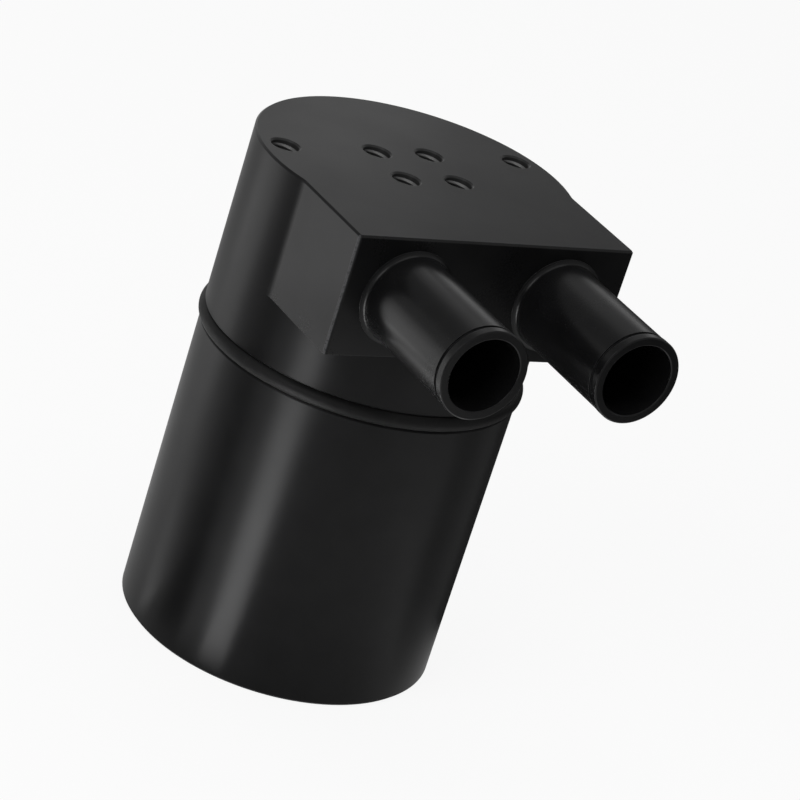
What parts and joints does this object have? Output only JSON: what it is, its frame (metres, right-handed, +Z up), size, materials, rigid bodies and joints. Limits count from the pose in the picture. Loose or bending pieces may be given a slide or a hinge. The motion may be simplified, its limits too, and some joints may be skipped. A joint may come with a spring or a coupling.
{
  "type": "oil catch can",
  "caption": "Round black anodised catch can with a screw-on cup, a rubber seal, a port block with hose spigots and a baffle pack that parts oil from crankcase gas.",
  "frame": {"origin": "centre of the cup's flat base, on the can's axis", "axes": "+Z up the can's axis to the head's top, -Y out of the hose spigots, +X from the inlet spigot to the outlet spigot"},
  "size_m": [0.0718, 0.1034, 0.111],
  "materials": {
    "black_anodise": "satin black anodise",
    "seal_rubber": "moulded, semi-matte",
    "bare_aluminium": "as turned",
    "wire_mesh": "knitted wire",
    "screw_steel": "plain stainless"
  },
  "bodies": {
    "head_assembly": {"head": "black_anodise", "inlet_spigot": "black_anodise", "outlet_spigot": "black_anodise", "drop_tube": "bare_aluminium", "upper_plate": "bare_aluminium", "lower_plate": "bare_aluminium", "upper_spacer": "bare_aluminium", "lower_spacer": "bare_aluminium", "mesh_pad": "wire_mesh", "baffle_screw": "screw_steel", "screw_washer": "screw_steel"},
    "seal": {"cup_seal": "seal_rubber"},
    "cup": {"cup": "black_anodise"}
  },
  "joints": [
    {"name": "cup_turn", "type": "hinge", "parent": "head_assembly", "child": "seal", "pos_m": [0, 0, 0.06902], "axis": [0, 0, -1], "range_deg": [0, 1800]},
    {"name": "cup_drop", "type": "slide", "parent": "seal", "child": "cup", "axis": [0, 0, -1], "range_m": [0, 0.01]}
  ],
  "couplings": [
    {"joint": "cup_drop", "follows": "cup_turn", "m_per_rad": 0.0003183}
  ]
}
